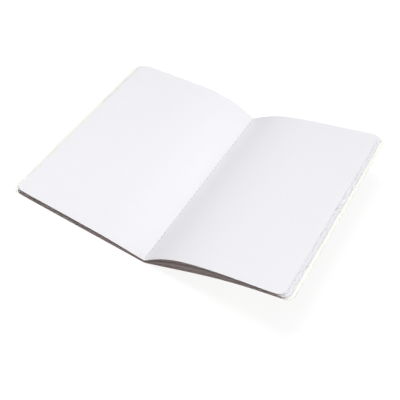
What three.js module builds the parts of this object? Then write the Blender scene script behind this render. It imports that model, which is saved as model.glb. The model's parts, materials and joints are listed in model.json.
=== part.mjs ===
// A thin sewn notebook, lying open at its middle spread.
// The sheets are folded once, nested in each other inside a card cover, and sewn through the fold
// with a lockstitch. Units are millimetres: X runs across the spread, Y along the fold towards the
// head of the pages, and Z up. The front cover lies flat, and the back half stands up from the fold.

import * as THREE from 'three';

// Card cover, as one half of it measures from the fold.
const coverWidth = 139;
const coverHeight = 210;
const coverThickness = 0.3;
const coverCornerRadius = 6;

// Paper. Each sheet gives one leaf on each side of the fold, and every sheet is trimmed a little
// narrower than the one that it is nested in.
const sheetCount = 20;
const paperThickness = 0.1;
const airBetweenSheets = 0.03;
const airOverCover = 0.05;
const foreEdgeMargin = 2.4;
const nestingCreep = 0.12;
const leafCornerRadius = 6;

// Sewing. The needle thread lies on the middle spread, the bobbin thread on the outside of the fold,
// and they meet in each hole.
const stitchPitch = 5.2;
const stitchMargin = 3.6;
const threadDiameter = 0.36;
const threadClearance = 0.17;
const threadCrossing = 0.45;
const threadOverTable = 0.02;
const holeSlope = 2.4;
const holeSections = 4;

// Opening. The back half stands up by this angle in degrees, and the hinge line lies just over the
// innermost sheet, so that the two covers end up parallel when the notebook is shut.
const backHalfLift = 22.5;
const hingeClearance = 0.05;

// Arch of the back cover between the fold and its fore-edge, at the tail and at the head.
const backArchTail = 4.6;
const backArchHead = 3.0;

// Bend of the top leaf on each side: a crown close to the fold, a broad swell over the whole width,
// and a lift at the fore-edge.
const leftTailCrown = 1.4;
const leftTailSwell = 1.1;
const leftTailLift = 3.2;
const leftHeadCrown = 7.1;
const leftHeadSwell = 4.8;
const leftHeadLift = 0.5;
const rightTailCrown = 7.1;
const rightTailSwell = 6.0;
const rightTailLift = 0.7;
const rightHeadCrown = 5.8;
const rightHeadSwell = 2.8;
const rightHeadLift = 0.1;

// The outer sheets rest on the covers and the inner ones spring up, with a gap of air between them.
// A share of 1 is the full bend of the top leaf.
const restingSheets = 10;
const restingShare = 0.42;
const springingShare = 0.78;
const restingSpread = 1.3;

// Shape of the crown and the arch along a leaf, where 0 is the fold and 1 the fore-edge.
const crownRise = 1.3;
const crownFall = 3.6;
const archSkew = 1.25;

// Stations along a leaf, closer together near the fold, and round a corner. The strips run between
// the tail and the head.
const leafStations = 12;
const cornerStations = 3;
const leafStrips = 2;
const stationCrowding = 1.6;
const threadSides = 5;

const foldPitch = paperThickness + airBetweenSheets;
const hingeHeight = coverThickness + airOverCover + sheetCount * foldPitch + hingeClearance;
const channelHalfWidth = threadDiameter / 2 + threadClearance;
const coverReach = coverWidth - channelHalfWidth;

const paper = { color: 0xf1f1f4, roughness: 0.85, metalness: 0 };
const card = { color: 0xfbf7ec, roughness: 0.7, metalness: 0 };
const thread = { color: 0xf8f7fb, roughness: 0.9, metalness: 0 };

function mesh(name, geometry, look) {
  const result = new THREE.Mesh(geometry, new THREE.MeshStandardMaterial(look));
  result.name = name;
  return result;
}

// Height of the crown at a share of the cover's reach, 1 at its highest.
function crown(share) {
  const top = crownRise / (crownRise + crownFall);
  const highest = top ** crownRise * (1 - top) ** crownFall;
  return share ** crownRise * (1 - share) ** crownFall / highest;
}

// Height of the broad arch at a share of the cover's reach, 1 at its highest.
function arch(share) {
  return Math.sin(Math.PI * share ** archSkew);
}

function topLeafBend(crownHeight, swellHeight, liftHeight) {
  return (share) => crownHeight * crown(share) + swellHeight * arch(share) + liftHeight * share;
}

const bends = {
  left: {
    tail: topLeafBend(leftTailCrown, leftTailSwell, leftTailLift),
    head: topLeafBend(leftHeadCrown, leftHeadSwell, leftHeadLift),
    archTail: 0,
    archHead: 0,
    direction: -1,
  },
  right: {
    tail: topLeafBend(rightTailCrown, rightTailSwell, rightTailLift),
    head: topLeafBend(rightHeadCrown, rightHeadSwell, rightHeadLift),
    archTail: backArchTail,
    archHead: backArchHead,
    direction: 1,
  },
};

// Distances from the inner edge of a leaf at which its section is drawn, with the extra ones that
// follow the rounded corners.
function stationDistances(length, radius) {
  const straight = length - radius;
  const distances = [];
  for (let i = 0; i <= leafStations; i += 1) {
    distances.push(straight * (i / leafStations) ** stationCrowding);
  }
  for (let i = 1; i <= cornerStations; i += 1) {
    distances.push(straight + radius * Math.sin((Math.PI / 2) * (i / cornerStations)));
  }
  return distances;
}

// Walks along a bent leaf without stretching it, and gives the place and the upward normal of its
// middle surface at each distance. The rise is a function of the share of the cover's reach.
function bentProfile(distances, level, rise) {
  const heights = distances.map((distance) => level + rise(distance / coverReach));
  const points = [new THREE.Vector2(channelHalfWidth, heights[0])];
  for (let i = 1; i < distances.length; i += 1) {
    const step = distances[i] - distances[i - 1];
    const climb = heights[i] - heights[i - 1];
    const reach = Math.sqrt(step ** 2 - climb ** 2);
    points.push(new THREE.Vector2(points[i - 1].x + reach, heights[i]));
  }
  return points.map((point, i) => {
    const before = points[Math.max(i - 1, 0)];
    const after = points[Math.min(i + 1, points.length - 1)];
    const along = after.clone().sub(before).normalize();
    return { point, normal: new THREE.Vector2(-along.y, along.x) };
  });
}

// Half the length of the leaf along the fold at a distance from its inner edge.
function halfSpan(distance, length, radius) {
  const past = Math.max(distance - (length - radius), 0);
  return coverHeight / 2 - radius + Math.sqrt(Math.max(radius ** 2 - past ** 2, 0));
}

// Faces with four corners, each drawn as two triangles. On the left side of the fold, where the body
// is mirrored, the corners are taken the other way round.
function faceList(mirrored) {
  const indices = [];
  const triangle = (a, b, c) => indices.push(...(mirrored ? [a, c, b] : [a, b, c]));
  const quad = (a, b, c, d) => {
    triangle(a, b, c);
    triangle(a, c, d);
  };
  return { indices, triangle, quad };
}

function solid(positions, indices) {
  const geometry = new THREE.BufferGeometry();
  geometry.setAttribute('position', new THREE.Float32BufferAttribute(positions, 3));
  geometry.setIndex(indices);
  geometry.computeVertexNormals();
  return geometry;
}

// A closed sheet of even thickness whose section changes from one bend at the tail to another at
// the head. It starts beside the thread and runs out to the fore-edge on its side of the fold.
function bentSheet({ length, thickness, radius, level, riseTail, riseHead, direction }) {
  const distances = stationDistances(length, radius);
  const tail = bentProfile(distances, level, riseTail);
  const head = bentProfile(distances, level, riseHead);
  const positions = [];
  distances.forEach((distance, i) => {
    const span = halfSpan(distance, length, radius);
    for (let row = 0; row <= leafStrips; row += 1) {
      const y = span * ((2 * row) / leafStrips - 1);
      const towardsHead = (y + coverHeight / 2) / coverHeight;
      const middle = tail[i].point.clone().lerp(head[i].point, towardsHead);
      const normal = tail[i].normal.clone().lerp(head[i].normal, towardsHead).normalize();
      const lower = middle.clone().addScaledVector(normal, -thickness / 2);
      const upper = middle.clone().addScaledVector(normal, thickness / 2);
      positions.push(direction * lower.x, y, lower.y);
      positions.push(direction * upper.x, y, upper.y);
    }
  });

  const lowerAt = (station, row) => 2 * (station * (leafStrips + 1) + row);
  const upperAt = (station, row) => lowerAt(station, row) + 1;
  const { indices, quad } = faceList(direction < 0);
  const last = distances.length - 1;
  for (let i = 0; i < last; i += 1) {
    for (let row = 0; row < leafStrips; row += 1) {
      quad(lowerAt(i, row), lowerAt(i, row + 1), lowerAt(i + 1, row + 1), lowerAt(i + 1, row));
      quad(upperAt(i, row), upperAt(i + 1, row), upperAt(i + 1, row + 1), upperAt(i, row + 1));
    }
    quad(lowerAt(i, 0), lowerAt(i + 1, 0), upperAt(i + 1, 0), upperAt(i, 0));
    quad(
      lowerAt(i, leafStrips),
      upperAt(i, leafStrips),
      upperAt(i + 1, leafStrips),
      lowerAt(i + 1, leafStrips),
    );
  }
  for (let row = 0; row < leafStrips; row += 1) {
    quad(lowerAt(0, row), upperAt(0, row), upperAt(0, row + 1), lowerAt(0, row + 1));
    quad(lowerAt(last, row), lowerAt(last, row + 1), upperAt(last, row + 1), upperAt(last, row));
  }
  return solid(positions, indices);
}

// Sheets are counted from the middle spread outwards. This is how many lie under one of them.
function sheetsUnder(number) {
  return sheetCount - number;
}

// How much of the top leaf's bend a sheet takes.
function bendShare(number) {
  const under = sheetsUnder(number);
  if (under < restingSheets) {
    return restingShare * (under / Math.max(restingSheets - 1, 1)) ** restingSpread;
  }
  const springing = Math.max(sheetCount - 1 - restingSheets, 1);
  return springingShare + (1 - springingShare) * ((under - restingSheets) / springing);
}

function leafGeometry(number, bend) {
  const share = bendShare(number);
  const under = sheetsUnder(number);
  const mixed = (archHeight, topBend) => (place) =>
    (1 - share) * archHeight * arch(place) + share * topBend(place);
  return bentSheet({
    length: coverReach - foreEdgeMargin - nestingCreep * under,
    thickness: paperThickness,
    radius: leafCornerRadius,
    level: coverThickness + airOverCover + (under + 0.5) * foldPitch - hingeHeight,
    riseTail: mixed(bend.archTail, bend.tail),
    riseHead: mixed(bend.archHead, bend.head),
    direction: bend.direction,
  });
}

function coverGeometry(bend) {
  return bentSheet({
    length: coverReach,
    thickness: coverThickness,
    radius: coverCornerRadius,
    level: coverThickness / 2 - hingeHeight,
    riseTail: (place) => bend.archTail * arch(place),
    riseHead: (place) => bend.archHead * arch(place),
    direction: bend.direction,
  });
}

// One half of the notebook in its own frame, with the hinge line on its Y axis.
function half(side, coverName) {
  const bend = bends[side];
  const group = new THREE.Group();
  group.add(mesh(coverName, coverGeometry(bend), card));
  for (let number = sheetCount; number >= 1; number -= 1) {
    const label = String(number).padStart(2, '0');
    group.add(mesh(`sheet_${label}_${side}`, leafGeometry(number, bend), paper));
  }
  group.position.z = hingeHeight;
  return group;
}

// A thread that runs straight along the fold and slopes into each hole, from its resting height to
// the height at which it meets the other thread.
function threadGeometry(restHeight, meetHeight) {
  const spanned = coverHeight - 2 * stitchMargin;
  const stitches = Math.max(Math.floor(spanned / stitchPitch), 1);
  const firstHole = (-stitches * stitchPitch) / 2;
  const path = [];
  for (let hole = 0; hole <= stitches; hole += 1) {
    for (let section = 0; section <= holeSections; section += 1) {
      const place = section / holeSections - 0.5;
      const depth = 0.5 + 0.5 * Math.cos(2 * Math.PI * place);
      const y = firstHole + hole * stitchPitch + place * holeSlope;
      path.push(new THREE.Vector2(y, restHeight + depth * (meetHeight - restHeight)));
    }
  }
  const positions = [];
  path.forEach((point, i) => {
    const before = path[Math.max(i - 1, 0)];
    const after = path[Math.min(i + 1, path.length - 1)];
    const along = after.clone().sub(before).normalize();
    for (let side = 0; side < threadSides; side += 1) {
      const angle = (2 * Math.PI * side) / threadSides;
      const across = (threadDiameter / 2) * Math.cos(angle);
      const up = (threadDiameter / 2) * Math.sin(angle);
      positions.push(across, point.x - along.y * up, point.y + along.x * up);
    }
  });

  const { indices, triangle, quad } = faceList(false);
  const last = (path.length - 1) * threadSides;
  for (let ring = 0; ring < last; ring += threadSides) {
    for (let side = 0; side < threadSides; side += 1) {
      const next = (side + 1) % threadSides;
      quad(ring + side, ring + side + threadSides, ring + next + threadSides, ring + next);
    }
  }
  for (let side = 1; side < threadSides - 1; side += 1) {
    triangle(0, side, side + 1);
    triangle(last, last + side + 1, last + side);
  }
  return solid(positions, indices);
}

function sewing() {
  const group = new THREE.Group();
  const bobbinHeight = threadDiameter / 2 + threadOverTable;
  const meeting = (hingeHeight + bobbinHeight) / 2;
  const apart = threadCrossing / 2;
  group.add(mesh('needle_thread', threadGeometry(hingeHeight, meeting + apart), thread));
  group.add(mesh('bobbin_thread', threadGeometry(bobbinHeight, meeting - apart), thread));
  return group;
}

const frontHalf = half('left', 'front_cover');
const backHalf = half('right', 'back_cover');
backHalf.rotation.y = -THREE.MathUtils.degToRad(backHalfLift);

const notebook = new THREE.Group();
notebook.add(frontHalf, backHalf, sewing());

// The origin is on the table, under the middle of the whole open notebook. The box is measured on
// every vertex, because one half of the notebook is turned.
const outline = new THREE.Box3().setFromObject(notebook, true);
notebook.position.x = -(outline.min.x + outline.max.x) / 2;

export default notebook;
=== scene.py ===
# A thin sewn notebook with blank pages, lying open at its middle spread.
# Sheets of writing paper are folded once, nested in each other inside a creased card cover, and sewn
# through the fold with a lockstitch. The front half lies flat and the back half stands up a little.
import json
import math

import bmesh
import bpy
from mathutils import Matrix, Vector


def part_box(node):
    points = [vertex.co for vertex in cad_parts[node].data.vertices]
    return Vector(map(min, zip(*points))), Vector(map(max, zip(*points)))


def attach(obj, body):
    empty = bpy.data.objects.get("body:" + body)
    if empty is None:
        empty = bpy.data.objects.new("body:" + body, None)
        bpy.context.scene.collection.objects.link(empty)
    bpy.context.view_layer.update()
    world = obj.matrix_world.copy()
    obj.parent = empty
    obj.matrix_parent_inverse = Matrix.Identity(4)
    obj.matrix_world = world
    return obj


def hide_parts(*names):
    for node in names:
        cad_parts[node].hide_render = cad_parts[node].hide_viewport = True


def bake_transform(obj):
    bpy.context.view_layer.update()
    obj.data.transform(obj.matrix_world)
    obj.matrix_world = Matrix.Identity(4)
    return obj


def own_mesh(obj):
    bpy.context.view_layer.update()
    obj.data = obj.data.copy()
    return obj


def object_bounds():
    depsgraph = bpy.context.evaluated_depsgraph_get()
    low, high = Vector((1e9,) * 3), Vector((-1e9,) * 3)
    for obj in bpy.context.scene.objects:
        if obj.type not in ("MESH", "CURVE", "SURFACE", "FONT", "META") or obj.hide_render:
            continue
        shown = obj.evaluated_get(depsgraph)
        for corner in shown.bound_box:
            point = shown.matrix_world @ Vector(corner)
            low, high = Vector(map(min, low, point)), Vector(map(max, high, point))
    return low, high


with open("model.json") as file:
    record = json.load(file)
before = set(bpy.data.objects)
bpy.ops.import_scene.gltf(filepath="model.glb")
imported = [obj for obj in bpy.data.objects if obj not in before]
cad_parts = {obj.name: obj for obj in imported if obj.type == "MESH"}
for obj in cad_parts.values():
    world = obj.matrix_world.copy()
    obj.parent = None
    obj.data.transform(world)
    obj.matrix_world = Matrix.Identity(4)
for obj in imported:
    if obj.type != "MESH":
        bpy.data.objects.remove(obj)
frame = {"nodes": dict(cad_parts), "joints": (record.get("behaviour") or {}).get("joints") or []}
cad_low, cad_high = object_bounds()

# Fold. Everything turns about one line over the crease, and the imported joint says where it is.
# The back half lies at its own angle to the table, which is what is left of the joint's travel
# until the notebook is open flat. The leaves start a little to either side, to leave room to sew.
fold_joint = next(joint for joint in frame["joints"] if joint["name"] == "back_half_fold")
fold = Vector(fold_joint["pos_m"])
back_half_lift = -math.radians(fold_joint["range_deg"][0])
half_normals = {
    "left": Vector((0, 0, 1)),
    "right": Vector((-math.sin(back_half_lift), 0, math.cos(back_half_lift))),
}
page_length = cad_high.y - cad_low.y
channel = fold.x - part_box("front_cover")[1].x

# Cover card. Both halves are one piece of ivory board about 0.3 mm thick, calendered smooth, die cut
# with round corners at the fore-edge, and creased down the middle before it is sewn to the sheets.
# It is soft, so the arch of the back half flattens with the pages as the notebook shuts.
cover_thickness = 0.0003
weld_distance = 1e-6
rows_between_ends = 7
steepest_bend = math.radians(53)
cut_edge = math.radians(45)


def colour(code):
    """A colour written as sRGB hex, in the linear values that a shader reads."""
    channels = [int(code[i:i + 2], 16) / 255 for i in (1, 3, 5)]
    linear = [c / 12.92 if c <= 0.04045 else ((c + 0.055) / 1.055) ** 2.4 for c in channels]
    return (*linear, 1)


def add_node(tree, kind, links=None, **settings):
    """Adds a node. Each entry of links is an input with the value or the output that goes into it."""
    made = tree.nodes.new(kind)
    for name, value in settings.items():
        setattr(made, name, value)
    for name, value in (links or {}).items():
        if isinstance(value, bpy.types.NodeSocket):
            tree.links.new(value, made.inputs[name])
        else:
            made.inputs[name].default_value = value
    return made


def finished(name, shape):
    """Puts a bmesh into the scene as an object of its own."""
    mesh = bpy.data.meshes.new(name)
    shape.to_mesh(mesh)
    shape.free()
    piece = bpy.data.objects.new(name, mesh)
    bpy.context.scene.collection.objects.link(piece)
    return piece


def thicken(piece, thickness, offset, surfaces):
    """Gives a bare surface its thickness and its materials, and keeps its cut edges crisp."""
    for surface in surfaces:
        piece.data.materials.append(surface)
    wall = piece.modifiers.new("Thickness", "SOLIDIFY")
    wall.thickness = thickness
    wall.offset = offset
    wall.material_offset_rim = 1
    graph = bpy.context.evaluated_depsgraph_get()
    piece.data = bpy.data.meshes.new_from_object(piece.evaluated_get(graph))
    piece.modifiers.clear()
    piece.data.shade_smooth()
    piece.data.set_sharp_from_angle(angle=cut_edge)


def fine_copy(node, name, side, thickness, surfaces):
    """A smooth sheet from a CAD node: its upper face is drawn as a grid, rounded and given its thickness."""
    sheet = bmesh.new()
    sheet.from_mesh(frame["nodes"][node].data)
    bmesh.ops.remove_doubles(sheet, verts=sheet.verts, dist=weld_distance)
    upward = half_normals[side]
    rest = [face for face in sheet.faces if face.normal.dot(upward) < math.cos(steepest_bend)]
    bmesh.ops.delete(sheet, geom=rest, context="FACES")
    # The solid has its points in three rows, at the tail, in the middle and at the head.
    place = {}
    for row in (-1, 0, 1):
        line = [vert for vert in sheet.verts if round(2 * vert.co.y / page_length) == row]
        line.sort(key=lambda vert: abs(vert.co.x - fold.x))
        place.update({vert: (row, station) for station, vert in enumerate(line)})
    diagonals = []
    for edge in sheet.edges:
        (row, station), (other_row, other_station) = (place[vert] for vert in edge.verts)
        if row != other_row and station != other_station:
            diagonals.append(edge)
    bmesh.ops.dissolve_edges(sheet, edges=diagonals, use_verts=False)
    along_fold = [edge for edge in sheet.edges if place[edge.verts[0]][0] != place[edge.verts[1]][0]]
    bmesh.ops.subdivide_edges(sheet, edges=along_fold, cuts=rows_between_ends, use_grid_fill=True)
    piece = finished(name, sheet)
    rounding = piece.modifiers.new("Rounding", "SUBSURF")
    rounding.levels = 2
    rounding.render_levels = 2
    rounding.boundary_smooth = "PRESERVE_CORNERS"
    thicken(piece, thickness, -1, surfaces)
    return piece


# Calendered board has a soft sheen and almost no tooth, with a faint cloudiness from its fibres.
board_cloud_size = 0.004
board_tooth_size = 0.0004
ivory_board = bpy.data.materials.new("ivory_board")
ivory_board.use_nodes = True
board_tree = ivory_board.node_tree
board_tree.nodes.clear()
board_place = add_node(board_tree, "ShaderNodeTexCoord")
board_cloud = add_node(
    board_tree, "ShaderNodeTexNoise",
    {"Vector": board_place.outputs["Object"], "Scale": 1 / board_cloud_size, "Detail": 4},
)
board_colour = add_node(
    board_tree, "ShaderNodeMix",
    {"Factor": board_cloud.outputs["Fac"], "A": colour("#F9F8EF"), "B": colour("#FDFCF4")},
    data_type="RGBA",
)
board_tooth = add_node(
    board_tree, "ShaderNodeTexNoise",
    {"Vector": board_place.outputs["Object"], "Scale": 1 / board_tooth_size, "Detail": 3},
)
board_bump = add_node(
    board_tree, "ShaderNodeBump",
    {"Height": board_tooth.outputs["Fac"], "Strength": 0.12, "Distance": 0.00002},
)
board_surface = add_node(
    board_tree, "ShaderNodeBsdfPrincipled",
    {
        "Base Color": board_colour.outputs["Result"],
        "Normal": board_bump.outputs["Normal"],
        "Roughness": 0.62,
        "IOR": 1.5,
    },
)
add_node(board_tree, "ShaderNodeOutputMaterial", {"Surface": board_surface.outputs["BSDF"]})

cover_halves = (("left", "front_half", "front_cover"), ("right", "back_half", "back_cover"))
for side, half_body, cad_name in cover_halves:
    cover = fine_copy(cad_name, "card_" + cad_name, side, cover_thickness, [ivory_board, ivory_board])
    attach(cover, half_body)
    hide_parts(cad_name)
    if side == "right":
        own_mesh(cover)

# Crease of the cover. The same board runs round the fold, pressed to half its thickness from outside
# by the creasing rule and pricked by the needle. It bends as the notebook shuts, into the spine.
crease_thickness = 0.00015
crease_height = 0.00021
crease_depth = fold.z - crease_height
fold_sag = 0.00012
fold_steps = 12
stitch_length = 0.0052
hole_length = 0.0017
hole_width = 0.0007
hole_taper = 0.6
hole_stops = (-0.5, -0.25, 0, 0.25, 0.5)
hole_wall_reach = 0.52
hole_wall_lean = 0.65
thread_low, thread_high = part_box("needle_thread")
stitches = int((thread_high.y - thread_low.y) / stitch_length)
hole_places = [(i - stitches / 2) * stitch_length for i in range(stitches + 1)]

# The needle goes in from the spread, so that the holes narrow towards the spine. The walls of the holes
# get a dark grey colour, which is painted shade for the shade inside each hole, so that each hole shows as a
# grey dot on the fold.
hole_wall_shade = bpy.data.materials.new("hole_wall_shade")
hole_wall_shade.use_nodes = True
hole_tree = hole_wall_shade.node_tree
hole_tree.nodes.clear()
hole_surface = add_node(
    hole_tree, "ShaderNodeBsdfPrincipled",
    {"Base Color": colour("#6A6570"), "Roughness": 0.95, "Specular IOR Level": 0.1},
)
add_node(hole_tree, "ShaderNodeOutputMaterial", {"Surface": hole_surface.outputs["BSDF"]})


def from_hole(y):
    """How far a place along the fold is from the nearest needle hole."""
    nearest = round((y - hole_places[0]) / stitch_length)
    return abs(y - hole_places[min(max(nearest, 0), stitches)])


def fold_strip(name, depth, thickness, surfaces):
    """A strip round the fold, from the inner edge of a left leaf to that of its right leaf, with holes."""
    start = Vector((fold.x - channel, 0, fold.z - depth))
    finish = fold + Matrix.Rotation(-back_half_lift, 3, "Y") @ Vector((channel, 0, -depth))
    chord = finish - start
    along = chord.normalized()
    upward = Vector((-along.z, 0, along.x))
    middle = (start + finish) / 2
    radius = (chord.length_squared / 4 + fold_sag ** 2) / (2 * fold_sag)
    centre = middle + upward * (radius - fold_sag)
    sweep = 2 * math.asin(chord.length / 2 / radius)
    length = hole_length * (1 - hole_taper * depth / fold.z)
    width = hole_width * (1 - hole_taper * depth / fold.z)
    stops = [place + length * part for place in hole_places for part in hole_stops]
    stops = [-page_length / 2, *stops, page_length / 2]
    strip = bmesh.new()
    line = [strip.verts.new(start + Vector((0, stop, 0))) for stop in stops]
    edges = [strip.edges.new(pair) for pair in zip(line, line[1:])]
    bmesh.ops.spin(
        strip, geom=[*line, *edges], cent=centre, axis=(0, 1, 0), angle=-sweep, steps=fold_steps,
        use_merge=False,
    )
    pricked = []
    for face in strip.faces:
        where = face.calc_center_median()
        across = (where - middle).dot(along)
        if (from_hole(where.y) / (length / 2)) ** 2 + (across / (width / 2)) ** 2 < 1:
            pricked.append(face)
    bmesh.ops.delete(strip, geom=pricked, context="FACES")
    bmesh.ops.recalc_face_normals(strip, faces=strip.faces)
    piece = finished(name, strip)
    # The third material of a fold is the painted shade on the walls of its needle holes.
    thicken(piece, thickness, 0, [*surfaces, hole_wall_shade])
    # The wall of a hole, which gets the painted shade, is what lies close round it and leans away from the
    # face of the strip.
    for face in piece.data.polygons:
        beside_length = from_hole(face.center.y) < hole_wall_reach * length
        beside_width = abs((face.center - middle).dot(along)) < hole_wall_reach * width
        if beside_length and beside_width and abs(face.normal.dot(upward)) < hole_wall_lean:
            face.material_index = 2
    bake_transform(piece)
    return piece


cover_crease = fold_strip("cover_crease", crease_depth, crease_thickness, [ivory_board, ivory_board])

# Leaves. Each sheet of uncoated writing paper gives one leaf on each side, trimmed in a guillotine
# and rounded at the fore-edge. They are held by the thread alone, so they spring up beside the fold,
# and lie down flat again as the notebook shuts.
paper_thickness = 0.0001
innermost_depth = 0.000115
sheet_pitch = 0.00013

# Uncoated woodfree paper scatters light evenly, without gloss. Its felt side shows a fine tooth, and
# against the light its fibres lie in faint clouds, drawn here a few millimetres wide so that they show.
paper_cloud_size = 0.0024
paper_tooth_size = 0.0003
writing_paper = bpy.data.materials.new("writing_paper")
writing_paper.use_nodes = True
paper_tree = writing_paper.node_tree
paper_tree.nodes.clear()
paper_place = add_node(paper_tree, "ShaderNodeTexCoord")
paper_cloud = add_node(
    paper_tree, "ShaderNodeTexNoise",
    {"Vector": paper_place.outputs["Object"], "Scale": 1 / paper_cloud_size, "Detail": 5, "Roughness": 0.6},
)
paper_colour = add_node(
    paper_tree, "ShaderNodeMix",
    {"Factor": paper_cloud.outputs["Fac"], "A": colour("#EEEEF2"), "B": colour("#F3F3F7")},
    data_type="RGBA",
)
paper_tooth = add_node(
    paper_tree, "ShaderNodeTexNoise",
    {"Vector": paper_place.outputs["Object"], "Scale": 1 / paper_tooth_size, "Detail": 4, "Roughness": 0.7},
)
paper_bump = add_node(
    paper_tree, "ShaderNodeBump",
    {"Height": paper_tooth.outputs["Fac"], "Strength": 0.2, "Distance": 0.00003},
)
paper_surface = add_node(
    paper_tree, "ShaderNodeBsdfPrincipled",
    {
        "Base Color": paper_colour.outputs["Result"],
        "Normal": paper_bump.outputs["Normal"],
        "Roughness": 0.9,
        "IOR": 1.45,
        "Specular IOR Level": 0.25,
    },
)
add_node(paper_tree, "ShaderNodeOutputMaterial", {"Surface": paper_surface.outputs["BSDF"]})

# The cut edges of the leaves and of the folds get a grey colour, which is painted shade for the shade
# between the leaves, so that the trimmed sides of the block look greyer than the pages.
painted_edge_shade = bpy.data.materials.new("painted_edge_shade")
painted_edge_shade.use_nodes = True
trim_tree = painted_edge_shade.node_tree
trim_tree.nodes.clear()
trim_surface = add_node(
    trim_tree, "ShaderNodeBsdfPrincipled",
    {"Base Color": colour("#C9C4C9"), "Roughness": 0.95, "Specular IOR Level": 0.1},
)
add_node(trim_tree, "ShaderNodeOutputMaterial", {"Surface": trim_surface.outputs["BSDF"]})
paper_surfaces = [writing_paper, painted_edge_shade]

sheet_numbers = sorted({int(node[6:8]) for node in frame["nodes"] if node.startswith("sheet_")})
half_bodies = {"left": "front_half", "right": "back_half"}
turning_bodies = {"left": "left_top_leaf", "right": "right_top_leaf"}


def sheet_depth(number):
    """How far the middle of a sheet lies under the fold line, square to its half."""
    return innermost_depth + (number - 1) * sheet_pitch


for number in sheet_numbers:
    for side in ("left", "right"):
        cad_name = f"sheet_{number:02d}_{side}"
        leaf = fine_copy(cad_name, f"leaf_{number:02d}_{side}", side, paper_thickness, paper_surfaces)
        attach(leaf, turning_bodies[side] if number == 1 else half_bodies[side])
        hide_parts(cad_name)
        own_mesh(leaf)

# Folds of the sheets. Paper is pressed flat along its fold, each sheet wraps the one inside it, and
# the needle has pricked them all in one stroke.
for number in sheet_numbers:
    paper_fold = fold_strip(f"fold_{number:02d}", sheet_depth(number), paper_thickness, paper_surfaces)

# Threads. Two-ply white sewing thread, one on the middle spread and one on the outside of the fold.
# They run along the fold from hole to hole and plunge into each one, where they lock.
hole_run_in = 0.00115
plunge_steepness = 2
ply_radius = 0.00009
ply_turn = 0.0016
point_step = 0.0002

# Spun thread is matt and a little fuzzy, and its twist catches light in fine slanted lines.
thread_fibre_size = 0.0002
sewing_thread = bpy.data.materials.new("sewing_thread")
sewing_thread.use_nodes = True
thread_tree = sewing_thread.node_tree
thread_tree.nodes.clear()
thread_place = add_node(thread_tree, "ShaderNodeTexCoord")
thread_fibre = add_node(
    thread_tree, "ShaderNodeTexNoise",
    {"Vector": thread_place.outputs["Object"], "Scale": 1 / thread_fibre_size, "Detail": 3},
)
thread_colour = add_node(
    thread_tree, "ShaderNodeMix",
    {"Factor": thread_fibre.outputs["Fac"], "A": colour("#F2F1F5"), "B": colour("#FDFCFE")},
    data_type="RGBA",
)
thread_bump = add_node(
    thread_tree, "ShaderNodeBump",
    {"Height": thread_fibre.outputs["Fac"], "Strength": 0.4, "Distance": 0.00003},
)
thread_surface = add_node(
    thread_tree, "ShaderNodeBsdfPrincipled",
    {
        "Base Color": thread_colour.outputs["Result"],
        "Normal": thread_bump.outputs["Normal"],
        "Roughness": 0.85,
        "Sheen Weight": 0.15,
    },
)
add_node(thread_tree, "ShaderNodeOutputMaterial", {"Surface": thread_surface.outputs["BSDF"]})


def twisted_thread(name, node, dips_down):
    """A two-ply thread along the route of a CAD thread, at its height and down to where it locks."""
    low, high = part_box(node)
    radius = 2 * ply_radius
    rest_height = high.z - radius if dips_down else low.z + radius
    lock_height = low.z + radius if dips_down else high.z - radius
    route = bpy.data.curves.new(name, "CURVE")
    route.dimensions = "3D"
    route.bevel_depth = ply_radius
    route.bevel_resolution = 1
    route.use_fill_caps = True
    steps = int((high.y - low.y) / point_step)
    for ply in range(2):
        spline = route.splines.new("POLY")
        spline.points.add(steps)
        for i in range(steps + 1):
            y = low.y + (high.y - low.y) * i / steps
            near = min(max(1 - from_hole(y) / hole_run_in, 0) * plunge_steepness, 1)
            dip = 0.5 - 0.5 * math.cos(math.pi * near)
            turn = 2 * math.pi * y / ply_turn + math.pi * ply
            across = ply_radius * math.cos(turn)
            height = rest_height + dip * (lock_height - rest_height) + ply_radius * math.sin(turn)
            spline.points[i].co = (fold.x + across, y, height, 1)
    curve = bpy.data.objects.new(name + "_route", route)
    bpy.context.scene.collection.objects.link(curve)
    graph = bpy.context.evaluated_depsgraph_get()
    thread = bmesh.new()
    thread.from_mesh(bpy.data.meshes.new_from_object(curve.evaluated_get(graph)))
    bpy.data.objects.remove(curve)
    bmesh.ops.remove_doubles(thread, verts=thread.verts, dist=weld_distance)
    piece = finished(name, thread)
    piece.data.shade_smooth()
    piece.data.materials.append(sewing_thread)
    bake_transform(piece)
    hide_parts(node)


twisted_thread("thread_on_spread", "needle_thread", dips_down=True)
twisted_thread("thread_on_spine", "bobbin_thread", dips_down=False)

# Table. A plain pale floor that shows white to the camera and keeps a light shadow of the notebook.
# It throws a little warm light back up at the cut edges of the paper.
table_half_width = 3
table_clearance = 0.0002
table = bmesh.new()
bmesh.ops.create_grid(table, x_segments=1, y_segments=1, size=table_half_width)
bmesh.ops.translate(table, verts=table.verts, vec=(0, 0, -table_clearance))
table_top = finished("table_top", table)

pale_table = bpy.data.materials.new("pale_table")
pale_table.use_nodes = True
table_tree = pale_table.node_tree
table_tree.nodes.clear()


def white_when_seen(tree):
    """1 for what the camera, a gloss or a glass sees, and 0 for light that falls on the notebook."""
    path = add_node(tree, "ShaderNodeLightPath")
    seen = add_node(
        tree, "ShaderNodeMath",
        {0: path.outputs["Is Camera Ray"], 1: path.outputs["Is Glossy Ray"]},
        operation="MAXIMUM",
    )
    at_all = add_node(
        tree, "ShaderNodeMath",
        {0: seen.outputs["Value"], 1: path.outputs["Is Transmission Ray"]},
        operation="MAXIMUM",
    )
    return at_all.outputs["Value"]


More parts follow.
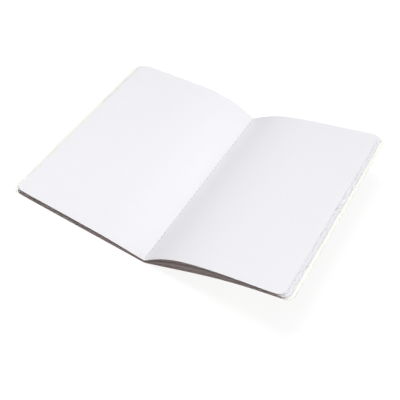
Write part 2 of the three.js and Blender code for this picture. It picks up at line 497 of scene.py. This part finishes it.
bounce = add_node(table_tree, "ShaderNodeBsdfDiffuse", {"Color": colour("#9C7A66")})
shadow_keeper = add_node(table_tree, "ShaderNodeBsdfDiffuse", {"Color": colour("#6A6A6A")})
shadow_reach = 0.35
table_end = 1.0
table_place = add_node(table_tree, "ShaderNodeTexCoord")
from_middle = add_node(
    table_tree, "ShaderNodeVectorMath", {"Vector": table_place.outputs["Object"]}, operation="LENGTH",
)
glow_strength = add_node(
    table_tree, "ShaderNodeMapRange",
    {
        "Value": from_middle.outputs["Value"],
        "From Min": shadow_reach,
        "From Max": table_end,
        "To Min": 0.9,
        "To Max": 1.0,
    },
    interpolation_type="SMOOTHSTEP",
)
glow = add_node(
    table_tree, "ShaderNodeEmission", {"Color": (1, 1, 1, 1), "Strength": glow_strength.outputs["Result"]},
)
shown_table = add_node(table_tree, "ShaderNodeAddShader", {0: shadow_keeper.outputs[0], 1: glow.outputs[0]})
table_mix = add_node(
    table_tree, "ShaderNodeMixShader",
    {0: white_when_seen(table_tree), 1: bounce.outputs[0], 2: shown_table.outputs[0]},
)
add_node(table_tree, "ShaderNodeOutputMaterial", {"Surface": table_mix.outputs[0]})
table_top.data.materials.append(pale_table)

# Room. A white surround for the camera and a weak warm fill for the notebook, with four softboxes:
# the main one overhead, and weaker ones to the right, at the tail and at the head.
room = bpy.data.worlds.new("room")
bpy.context.scene.world = room
room.use_nodes = True
room_tree = room.node_tree
room_tree.nodes.clear()
fill = add_node(room_tree, "ShaderNodeBackground", {"Color": colour("#FFF6EE"), "Strength": 0.03})
surround = add_node(room_tree, "ShaderNodeBackground", {"Color": (1, 1, 1, 1), "Strength": 1})
room_mix = add_node(
    room_tree, "ShaderNodeMixShader",
    {0: white_when_seen(room_tree), 1: fill.outputs[0], 2: surround.outputs[0]},
)
add_node(room_tree, "ShaderNodeOutputWorld", {"Surface": room_mix.outputs[0]})


def softbox(name, place, size, power):
    """A square lamp that faces the notebook."""
    lamp = bpy.data.lights.new(name, "AREA")
    lamp.size = size
    lamp.energy = power
    stand = bpy.data.objects.new(name, lamp)
    bpy.context.scene.collection.objects.link(stand)
    stand.location = place
    stand.rotation_euler = (-Vector(place)).to_track_quat("-Z", "Y").to_euler()


softbox("softbox_overhead", (-0.3, -0.1, 1.5), 0.6, 15.9)
softbox("softbox_right", (1.3, 0.25, 0.9), 0.7, 6.5)
softbox("softbox_tail", (0, -0.5, 1.4), 1.0, 3.6)
softbox("softbox_head", (0, 0.55, 1.25), 1.5, 2.0)

# Camera. It stands to the right of the tail, looks down at the spread and is held a little askew.
# Its place and lens are fitted to the lines of the photograph.
camera_lens = 67.46
camera_target = Vector((-0.00353, 0.02133, -0.05051))
camera_distance = 0.75655
camera_azimuth = math.radians(20.966)
camera_elevation = math.radians(50.593)
camera_roll = math.radians(10.925)
from_target = Vector((
    math.sin(camera_azimuth) * math.cos(camera_elevation),
    -math.cos(camera_azimuth) * math.cos(camera_elevation),
    math.sin(camera_elevation),
))
camera_data = bpy.data.cameras.new("camera")
camera_data.lens = camera_lens
camera_data.sensor_width = 36
camera_data.clip_start = 0.01
camera = bpy.data.objects.new("camera", camera_data)
bpy.context.scene.collection.objects.link(camera)
level = (-from_target).to_track_quat("-Z", "Y").to_matrix()
askew = level @ Matrix.Rotation(camera_roll, 3, "Z")
camera.matrix_world = Matrix.Translation(camera_target + from_target * camera_distance) @ askew.to_4x4()
bpy.context.scene.camera = camera
bpy.context.scene.view_settings.view_transform = "Standard"
